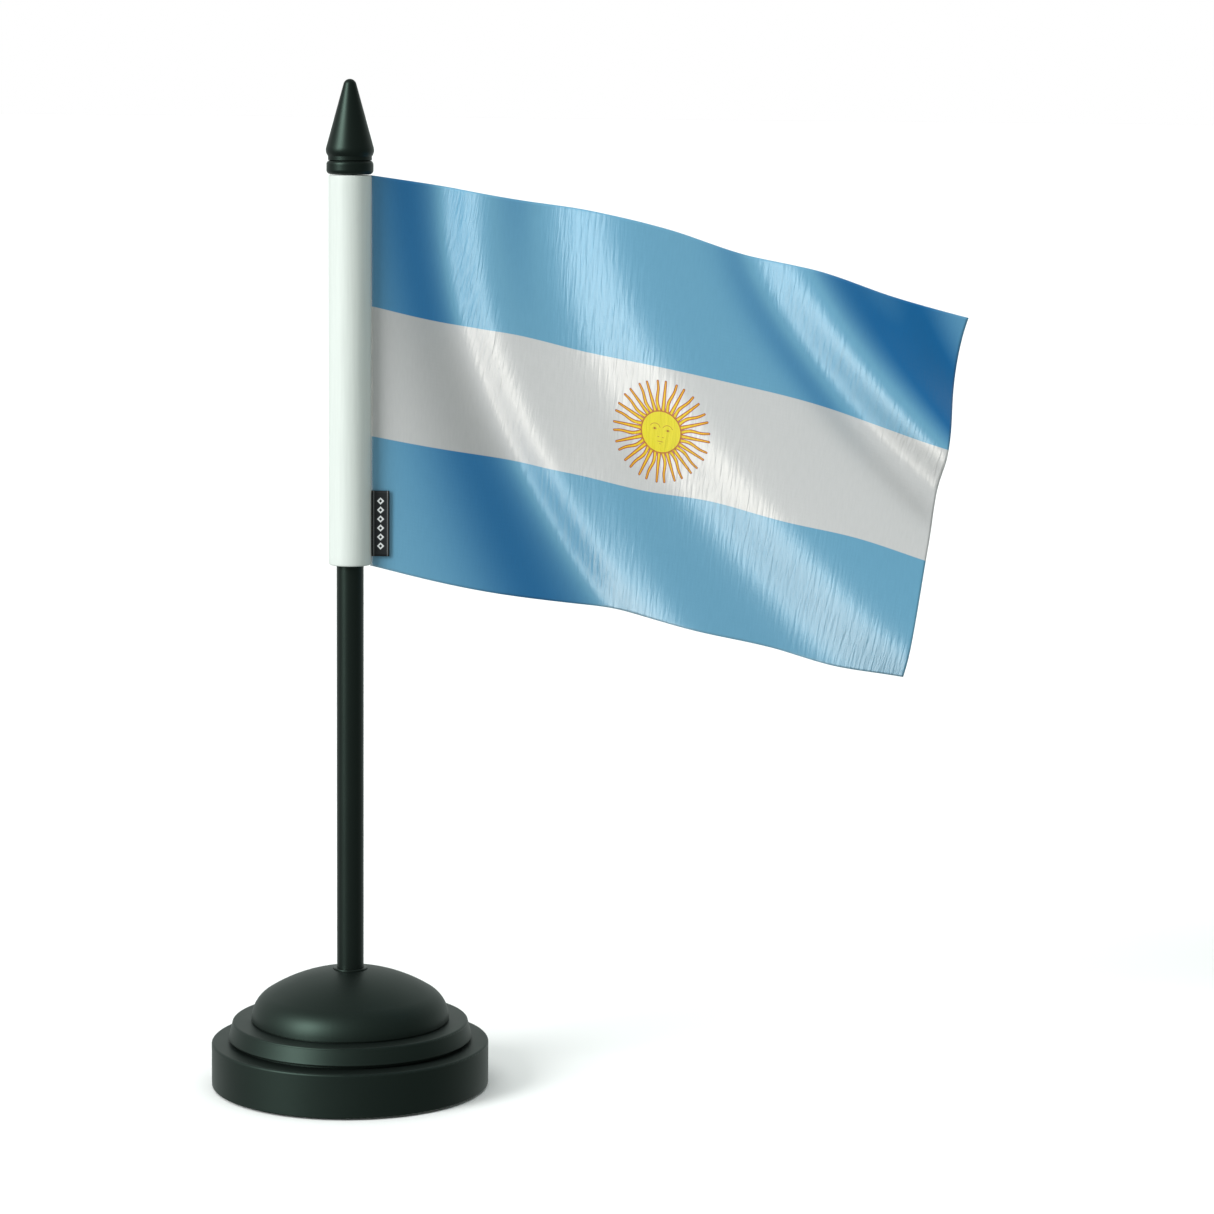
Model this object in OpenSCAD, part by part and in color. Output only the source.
// Desk flag stand: a weighted round base, a pole pushed into its socket, a spear finial
// pushed into the pole, and a flag on a stiff sleeve that turns on the pole.
// Millimetres, +Z up. The origin is the centre of the pad's underside, on the desk.
// The flag flies towards +X.

/* [Base] */
// Diameter of the plinth, the lowest disc
plinth_d = 72.6; // [66:0.2:90]
// Height of the plinth's top above the desk
plinth_top = 12; // [11:0.1:14]
// Diameter of the step disc at its top rim
step_d = 61.8; // [58:0.2:64]
// Height of the step disc
step_h = 5.4; // [5:0.1:8]
// Diameter of the dome at its foot
dome_d = 51.8; // [44:0.2:54]
// Height of the dome above the step disc
dome_h = 13.8; // [12:0.1:18]
// Radius of the dome's haunch, the tighter curve above its foot
haunch_r = 8.2; // [6:0.1:9]
// Wall of the moulded base parts
base_wall = 2.2; // [1.8:0.1:2.6]
// Diameter of the felt pad
pad_d = 62; // [50:1:64]

/* [Pole] */
// Outer diameter of the pole
pole_d = 7; // [6.5:0.1:7.4]
// Wall of the pole's tube
pole_wall = 1; // [0.8:0.1:1.2]
// Depth of the socket that the pole stands in
socket_depth = 18.4; // [15:0.1:18.4]
// Diameter of the ring that stops the pole at the dome
collar_d = 8.6; // [8.4:0.1:9.2]

/* [Sleeve] */
// Height of the sleeve's lower end above the desk
sleeve_z = 137.8; // [120:0.1:160]
// Outer diameter of the sleeve
sleeve_d = 11; // [11:0.1:12]
// Thickness of the sleeve's satin wrap
wrap_t = 0.5; // [0.3:0.1:0.6]
// Wall of the stiff liner inside the wrap
liner_t = 0.75; // [0.6:0.05:0.8]

/* [Finial] */
// Diameter of the finial's lower ring
ring_d = 12; // [11:0.1:12.6]
// Height of the finial's lower ring
ring_h = 3.6; // [3:0.1:4.5]
// Largest diameter of the spear point
spear_d = 12.3; // [11:0.1:13]
// Length of the spear point
spear_h = 20.5; // [19:0.5:26]
// Radius of the spear's blunt tip
tip_r = 1.7; // [1:0.1:2]

/* [Flag] */
// Length of the flag from the sleeve to the fly edge, laid flat
flag_l = 160; // [140:1:165]
// Height of the flag along the sleeve
flag_h = 100; // [90:1:105]
// How far the top edge reaches sideways from the sleeve
reach_top = 151.5; // [130:0.5:160]
// How far the bottom edge reaches sideways from the sleeve
reach_bottom = 137.2; // [120:0.5:160]
// Thickness of the cloth's solid
cloth_t = 0.5; // [0.4:0.1:0.8]

/* [Hidden] */
$fn = 96;

// Fits
glue_gap = 0.05;    // radial gap between parts of one body that are glued or pressed
running_gap = 0.07; // radial gap between a shaft and the hole that it turns or slides in
hair = 0.0005;      // how far an arc stands proud of what runs on from it, so that they cross cleanly

// Radii of the base
plinth_r = plinth_d / 2;
step_r = step_d / 2;
dome_r = dome_d / 2;
pole_r = pole_d / 2;

// Heights of the base, from the desk up
skirt_z = 0.4;                        // underside of the plinth's skirt
cover_z = 1.2;                        // top of the pad, underside of the cover
cover_t = 1.2;
ledge_z = cover_z + cover_t;          // ledge that the cover stops at
plinth_plate_z = plinth_top - base_wall;
step_top = plinth_top + step_h;
dome_top = step_top + dome_h;
seat_z = dome_top - 1;                // spot face that the pole's collar rests on
undercut_h = 0.8;                     // groove under the step disc's foot
dome_groove_h = 0.4;                  // groove under the dome's foot

// Radii inside the base
cover_r = plinth_r - 2.6;
cavity_r = cover_r - 0.8;
column_r = 6.5;                       // central column of the dome cap
column_hole_r = column_r + 0.1;
locating_r = step_r - 2.5;            // ring on the plinth that centres the step disc
locating_t = 1.4;

// The clamp stack under the column
washer_z = 5;
washer_t = 1.2;
washer_r = 11;
column_z = washer_z + washer_t;
screw_r = 2;
screw_head_r = 3.6;
screw_head_h = 2.1;
insert_r = 2.9;
web_t = 0.8;                          // web between the insert's hole and the socket
socket_z = seat_z - socket_depth;
insert_top = socket_z - web_t - 0.2;
screw_top = insert_top - 0.3;

// The pole
socket_bore_r = pole_r + running_gap;
socket_r = pole_r + 0.8;
foot_flange_h = 0.8;
foot_z = socket_z + 0.8;              // underside of the pole's foot plug
tube_z = foot_z + foot_flange_h;
collar_h = 1.2;
plug_r = pole_r - pole_wall - glue_gap;

// The sleeve and the top of the pole
sleeve_r = sleeve_d / 2;
sleeve_top = sleeve_z + flag_h;
liner_r = sleeve_r - wrap_t - glue_gap;
cap_t = 2.7;
cap_z = sleeve_top - cap_t;
top_flange_h = 1;
top_flange_z = cap_z - top_flange_h - 0.1;
bush_flange_h = 0.6;
bush_h = 6;

// The finial
ring_z = sleeve_top + 0.15;
spear_z = ring_z + ring_h;
spear_r = spear_d / 2;
groove_r = spear_r - 0.55;            // neck between the ring and the spear
groove_h = 1;
shoulder_r = 2.5;                     // rounding of the spear's widest edge
stud_r = 1.5;
stud_z = top_flange_z - 10.5;
stud_top = spear_z + 8.6;

// The flag's folds. Each one crosses the cloth from the top edge to the bottom edge along
// along = start + lean * down + bend * down^2, where down goes from 0 to 1.
// [start, lean, bend, half width at the top and bottom edge, slope at the top and bottom edge]
folds = [
  [9, 13, 27, 10.5, 19, 0.5, 0.48],
  [23.5, -1.5, 55.5, 5.2, 7, -0.83, -0.77],
  [39, 10.5, 39, 7, 8.5, 0.14, -0.26],
  [56.5, 16, 85, 8, 18, -0.55, -0.58],
  [98.5, 45, 120, 6.5, 7, 0.37, 0.07],
  [108.5, 65.5, 157, 9.5, 10, -0.7, -0.73],
  [127, 104, 134, 12, 11.5, 0.56, 0.66],
  [147, 59.5, 61.5, 8.5, 9.5, 0.52, 0.35]
];
// How far the cloth hangs below level at every droop_pitch along the fly: the top edge,
// a third and two thirds of the way down, and the bottom edge
droop_pitch = flag_l / 8;
droop_rows = [
  [0, 2.9, 6, 8.6, 12.9, 19, 22.9, 29.5, 35.3],
  [0, 4.5, 7.1, 11.3, 14.3, 18.1, 22.4, 28.3, 34],
  [0, 3.5, 6.9, 10, 13.9, 16.1, 20, 23.7, 29.4],
  [0.3, 4.5, 8.2, 11.4, 13.6, 17.4, 20.9, 25.4, 26.7]
];
cloth_columns = 40;
cloth_rows = 20;

// Label, lying on the cloth at the sleeve
label_w = 4.6;
label_h = 17;
label_t = 0.4;
label_z = sleeve_z + 2.3;

// Colours
black_plastic = "#222a28";
black_metal = "#1d2322";
steel = "#a9adb0";
brass = "#b5924c";
white_satin = "#eef2ee";
sky_blue = "#6ba2c0";

// ---------------------------------------------------------------- helpers

// Turned part. Its outline is a polygon with its corners cut off, and a circle [x, z, r]
// at each cut corner rounds it.
module turned(points, rounds = []) {
  rotate_extrude() {
    polygon(points);
    for (c = rounds) translate([c[0], c[1]]) circle(r = c[2]);
  }
}

// Plain round part between two heights
module disc(r, z0, z1) {
  translate([0, 0, z0]) cylinder(r = r, h = z1 - z0);
}

// The two points where a round of radius e meets the sides of an outer corner at (x, z)
function lower_corner(x, z, e) = [[x - e, z], [x, z + e]];
function upper_corner(x, z, e) = [[x, z - e], [x - e, z]];

// Ring between two radii and two heights, its outer edges rounded by edge, which is at most
// half the ring's width
module rounded_ring(r_in, r_out, z0, z1, edge) {
  turned(
    concat([[r_in, z0]], lower_corner(r_out, z0, edge), upper_corner(r_out, z1, edge), [[r_in, z1]]),
    [[r_out - edge, z0 + edge, edge], [r_out - edge, z1 - edge, edge]]
  );
}

// Half outline of a three-centred dome: a haunch arc that starts upright at the foot, and
// a flatter crown arc that runs on from it and has its centre on the axis
module dome_outline(r, h, z0, haunch) {
  crown = ((r - haunch) * (r - haunch) + h * h - haunch * haunch) / (2 * (h - haunch));
  haunch_c = [r - haunch, z0];
  crown_c = [0, z0 + h - crown];
  toward = (haunch_c - crown_c) / norm(haunch_c - crown_c);
  intersection() {
    union() {
      translate(haunch_c) circle(r = haunch);
      intersection() {
        translate(crown_c) circle(r = crown - hair, $fn = 360);
        polygon([[0, z0], haunch_c, crown_c + toward * (crown + 2), [0, z0 + h + 2]]);
      }
    }
    translate([0, z0]) square([r + 1, h + 1]);
  }
}

function lerp(a, b, k) = a + (b - a) * k;
function sum(list) = list * [for (v = list) 1];
function tanh(x) = (exp(2 * x) - 1) / (exp(2 * x) + 1);

// ---------------------------------------------------------------- base

module plinth() {
  edge = 0.6;
  foot = 0.4;
  color(black_plastic) turned(
    concat(
      [
        [column_hole_r, plinth_plate_z],
        [cavity_r, plinth_plate_z],
        [cavity_r, ledge_z],
        [cover_r + glue_gap, ledge_z],
        [cover_r + glue_gap, skirt_z]
      ],
      lower_corner(plinth_r, skirt_z, foot),
      upper_corner(plinth_r, plinth_top, edge),
      [
        [locating_r, plinth_top],
        [locating_r, plinth_top + locating_t],
        [locating_r - 1.4, plinth_top + locating_t],
        [locating_r - 1.4, plinth_top],
        [column_hole_r, plinth_top]
      ]
    ),
    [[plinth_r - foot, skirt_z + foot, foot], [plinth_r - edge, plinth_top - edge, edge]]
  );
}

// Flares towards its foot, above a narrow undercut
module step_disc() {
  edge = 0.6;
  foot = 0.35;
  flare = 1;
  foot_z = plinth_top + undercut_h;
  color(black_plastic) turned(
    concat(
      [
        [column_hole_r, step_top - base_wall],
        [locating_r + 0.1, step_top - base_wall],
        [locating_r + 0.1, plinth_top],
        [step_r - 0.7, plinth_top],
        [step_r - 0.7, foot_z]
      ],
      lower_corner(step_r + flare, foot_z, foot),
      upper_corner(step_r, step_top, edge),
      [[column_hole_r, step_top]]
    ),
    [[step_r + flare - foot, foot_z + foot, foot], [step_r - edge, step_top - edge, edge]]
  );
}

// The dome's shell and its column, which reaches down to the clamp washer
module dome_cap() {
  neck_r = dome_r - 0.5;
  seat_r = collar_d / 2 + 0.2;
  outer_foot = step_top + dome_groove_h;
  color(black_plastic) difference() {
    union() {
      rotate_extrude() difference() {
        union() {
          dome_outline(dome_r, dome_top - outer_foot, outer_foot, haunch_r);
          translate([0, step_top]) square([neck_r, dome_groove_h + 0.01]);
        }
        dome_outline(dome_r - base_wall, dome_h - base_wall, step_top, haunch_r - base_wall);
      }
      disc(column_r, column_z, seat_z - 1);
    }
    disc(seat_r, seat_z, dome_top + 1);
    disc(socket_r + glue_gap, socket_z, seat_z + 1);
    disc(insert_r + glue_gap, column_z - 1, socket_z - web_t);
  }
}

module pole_socket() {
  color(brass) difference() {
    disc(socket_r, socket_z, seat_z);
    disc(socket_bore_r, socket_z - 1, seat_z + 1);
  }
}

// Threaded brass insert, with two knurl rings as plain grooves
module screw_insert() {
  groove = 0.4;
  color(brass) difference() {
    disc(insert_r, column_z, insert_top);
    disc(screw_r, column_z - 1, insert_top + 1);
    for (k = [1, 2]) translate([0, 0, lerp(column_z, insert_top, k / 3)]) difference() {
      cylinder(r = insert_r + 1, h = groove, center = true);
      cylinder(r = insert_r - groove, h = groove + 1, center = true);
    }
  }
}

// Steel ring with a counterbore for the washer
module ballast_weight() {
  chamfer = 0.6;
  outer_r = cavity_r - 0.2;
  inner_r = column_r + 0.2;
  bore_r = washer_r + 0.4;
  color(steel) turned([
    [inner_r, column_z],
    [bore_r, column_z],
    [bore_r, ledge_z + 0.2],
    [outer_r - chamfer, ledge_z + 0.2],
    [outer_r, ledge_z + 0.2 + chamfer],
    [outer_r, plinth_plate_z - chamfer],
    [outer_r - chamfer, plinth_plate_z],
    [inner_r, plinth_plate_z]
  ]);
}

module clamp_washer() {
  color(steel) difference() {
    disc(washer_r, washer_z, column_z);
    disc(screw_r + 0.2, washer_z - 1, column_z + 1);
  }
}

// Domed head with a cross recess, and the shank up into the insert
module clamp_screw() {
  recess_w = 1;
  recess_l = 4;
  recess_z = washer_z - screw_head_h;
  head_edge = 0.8;
  color(steel) difference() {
    turned(
      [
        [0, recess_z],
        [screw_head_r - head_edge, recess_z],
        [screw_head_r, recess_z + head_edge],
        [screw_head_r, washer_z],
        [screw_r - glue_gap, washer_z],
        [screw_r - glue_gap, screw_top - 0.4],
        [screw_r - glue_gap - 0.4, screw_top],
        [0, screw_top]
      ],
      [[screw_head_r - head_edge, recess_z + head_edge, head_edge]]
    );
    for (turn = [0, 90]) rotate([0, 0, turn])
      translate([-recess_l / 2, -recess_w / 2, recess_z - 1]) cube([recess_l, recess_w, 2.2]);
  }
}

// Thin plate, with a finger notch so that it can be lifted out
module bottom_cover() {
  notch_r = 3;
  color(black_plastic) difference() {
    disc(cover_r, cover_z, ledge_z);
    translate([0, cover_r + 0.5, cover_z - 1]) cylinder(r = notch_r, h = cover_t + 2);
  }
}

module felt_pad() {
  color("#3a3f3d") disc(pad_d / 2, 0, cover_z);
}

// ---------------------------------------------------------------- pole

module pole_tube() {
  color(black_metal) difference() {
    disc(pole_r, tube_z, top_flange_z);
    disc(pole_r - pole_wall, tube_z - 1, top_flange_z + 1);
  }
}

// Ring lacquered in place on the pole, a little larger than the tube inside
module pole_collar() {
  edge = 0.3;
  color(black_metal) rounded_ring(pole_r + glue_gap, collar_d / 2, seat_z, seat_z + collar_h, edge);
}

// Plug with a chamfered flange that leads the pole into its socket
module pole_foot_plug() {
  chamfer = 0.5;
  plug_h = 7;
  color(black_plastic) turned([
    [0, foot_z],
    [pole_r - chamfer, foot_z],
    [pole_r, foot_z + chamfer],
    [pole_r, tube_z],
    [plug_r, tube_z],
    [plug_r, tube_z + plug_h],
    [0, tube_z + plug_h]
  ]);
}

// Plug that takes the finial's stud, with a flange that the sleeve's cap rests on
module pole_top_plug() {
  plug_h = 12;
  bore_r = stud_r + running_gap;
  color(brass) difference() {
    union() {
      disc(plug_r, top_flange_z - plug_h, top_flange_z);
      disc(pole_r, top_flange_z, top_flange_z + top_flange_h);
    }
    disc(bore_r, top_flange_z - plug_h - 1, top_flange_z + top_flange_h + 1);
  }
}

// ---------------------------------------------------------------- finial

module finial_collar() {
  color(black_plastic) rounded_ring(stud_r + glue_gap, ring_d / 2, ring_z, spear_z, 1.1);
}

// A blunt cone whose straight flank runs tangent from the shoulder's arc to the tip's arc,
// with the small flat that the mould leaves on the tip
module finial_spear() {
  tip_flat = 0.01;
  shoulder_x = spear_r - shoulder_r;
  shoulder_z = spear_z + groove_h + shoulder_r * sin(acos((groove_r - shoulder_x) / shoulder_r));
  tip_z = spear_z + spear_h - tip_r;
  rise = tip_z - shoulder_z;
  flank = atan2(rise, -shoulder_x) - acos((shoulder_r - tip_r) / norm([shoulder_x, rise]));
  outward = [cos(flank), sin(flank)];
  color(black_plastic) difference() {
    rotate_extrude() {
      polygon([
        [0, spear_z],
        [groove_r, spear_z],
        [groove_r, spear_z + groove_h],
        [shoulder_x, shoulder_z],
        [shoulder_x, shoulder_z] + (shoulder_r - hair) * outward,
        [0, tip_z] + (tip_r - hair) * outward,
        [0, tip_z]
      ]);
      translate([shoulder_x, shoulder_z]) circle(r = shoulder_r);
      intersection() {
        translate([0, tip_z]) circle(r = tip_r);
        translate([0, tip_z - tip_r]) square([2 * tip_r, 2 * tip_r - tip_flat]);
      }
    }
    disc(stud_r + glue_gap, spear_z - 1, stud_top + 0.2);
  }
}

module finial_stud() {
  chamfer = 0.4;
  color(steel) turned([
    [0, stud_z],
    [stud_r - chamfer, stud_z],
    [stud_r, stud_z + chamfer],
    [stud_r, stud_top - chamfer],
    [stud_r - chamfer, stud_top],
    [0, stud_top]
  ]);
}

// ---------------------------------------------------------------- flag

module sleeve_liner() {
  color("#d9dcd8") difference() {
    disc(liner_r, sleeve_z + bush_flange_h, cap_z);
    disc(liner_r - liner_t, sleeve_z, cap_z + 1);
  }
}

// Satin wrapped round the liner, its two ends turned in over a small radius
module sleeve_wrap() {
  color(white_satin) rounded_ring(sleeve_r - wrap_t, sleeve_r, sleeve_z, sleeve_top, 0.25);
}

module sleeve_top_cap() {
  color("#d9dcd8") difference() {
    disc(liner_r, cap_z, sleeve_top);
    disc(stud_r + running_gap, cap_z - 1, sleeve_top + 1);
  }
}

module sleeve_bottom_bush() {
  color("#d9dcd8") difference() {
    union() {
      disc(liner_r, sleeve_z, sleeve_z + bush_flange_h);
      disc(liner_r - liner_t - glue_gap, sleeve_z, sleeve_z + bush_h);
    }
    disc(pole_r + running_gap, sleeve_z - 1, sleeve_z + bush_h + 1);
  }
}

// Depth of the cloth at a distance along the fly and a share of the height down:
// each fold is a soft step, so that its flank has the slope that the table gives
function fold_depth(along, down) = sum([
  for (f = folds)
    let (
      centre = f[0] + f[1] * down + f[2] * down * down,
      width = lerp(f[3], f[4], down),
      height = lerp(f[5], f[6], down) * width
    )
    height * (tanh((along - centre) / width) - tanh(-centre / width))
]);

// Smooth curve through a list of heights, at a place counted in steps along the list
function curve(list, place) =
  let (
    i = min(floor(place), len(list) - 2),
    f = place - i,
    b = list[i],
    c = list[i + 1],
    a = i > 0 ? list[i - 1] : 2 * b - c,
    d = i + 2 < len(list) ? list[i + 2] : 2 * c - b
  )
  b + f / 2 * (c - a + f * (2 * a - 5 * b + 4 * c - d + f * (3 * (b - c) + d - a)));

// How far the cloth hangs below level
function droop(along, down) =
  let (j = min(floor(3 * down), 2), place = along / droop_pitch)
  lerp(curve(droop_rows[j], place), curve(droop_rows[j + 1], place), 3 * down - j);

function cloth_point(i, j, side) =
  let (
    across = i / cloth_columns,
    down = j / cloth_rows,
    along = across * flag_l
  )
  [
    sleeve_r + 0.1 + across * lerp(reach_top, reach_bottom, down),
    fold_depth(along, down) + side * cloth_t / 2,
    sleeve_top - down * flag_h - droop(along, down)
  ];

// Index of a point in the cloth's list: the viewer's side first, then the far side
function cloth_index(i, j, far) = (far * (cloth_rows + 1) + j) * (cloth_columns + 1) + i;

// Two triangles across four corners
function quad(a, b, c, d) = [[a, b, c], [a, c, d]];

module flag_cloth() {
  points = [
    for (side = [-1, 1]) for (j = [0:cloth_rows]) for (i = [0:cloth_columns]) cloth_point(i, j, side)
  ];
  faces = [
    for (j = [0:cloth_rows - 1]) for (i = [0:cloth_columns - 1]) each concat(
      quad(cloth_index(i, j, 0), cloth_index(i + 1, j, 0),
           cloth_index(i + 1, j + 1, 0), cloth_index(i, j + 1, 0)),
      quad(cloth_index(i, j, 1), cloth_index(i, j + 1, 1),
           cloth_index(i + 1, j + 1, 1), cloth_index(i + 1, j, 1))
    ),
    for (i = [0:cloth_columns - 1]) each concat(
      quad(cloth_index(i, 0, 1), cloth_index(i + 1, 0, 1),
           cloth_index(i + 1, 0, 0), cloth_index(i, 0, 0)),
      quad(cloth_index(i, cloth_rows, 0), cloth_index(i + 1, cloth_rows, 0),
           cloth_index(i + 1, cloth_rows, 1), cloth_index(i, cloth_rows, 1))
    ),
    for (j = [0:cloth_rows - 1]) each concat(
      quad(cloth_index(0, j, 1), cloth_index(0, j, 0),
           cloth_index(0, j + 1, 0), cloth_index(0, j + 1, 1)),
      quad(cloth_index(cloth_columns, j, 0), cloth_index(cloth_columns, j, 1),
           cloth_index(cloth_columns, j + 1, 1), cloth_index(cloth_columns, j + 1, 0))
    )
  ];
  color(sky_blue) polyhedron(points, faces);
}

// Folded tag, sewn into the seam between the sleeve and the cloth
module woven_label() {
  depth = -cloth_t / 2 - label_t - 0.15;
  color(black_plastic) translate([sleeve_r + 0.1, depth, label_z]) cube([label_w, label_t, label_h]);
}

// ---------------------------------------------------------------- nodes

plinth();
step_disc();
dome_cap();
pole_socket();
screw_insert();
ballast_weight();
clamp_washer();
clamp_screw();
bottom_cover();
felt_pad();
pole_tube();
pole_collar();
pole_foot_plug();
pole_top_plug();
finial_collar();
finial_spear();
finial_stud();
sleeve_liner();
sleeve_wrap();
sleeve_top_cap();
sleeve_bottom_bush();
flag_cloth();
woven_label();
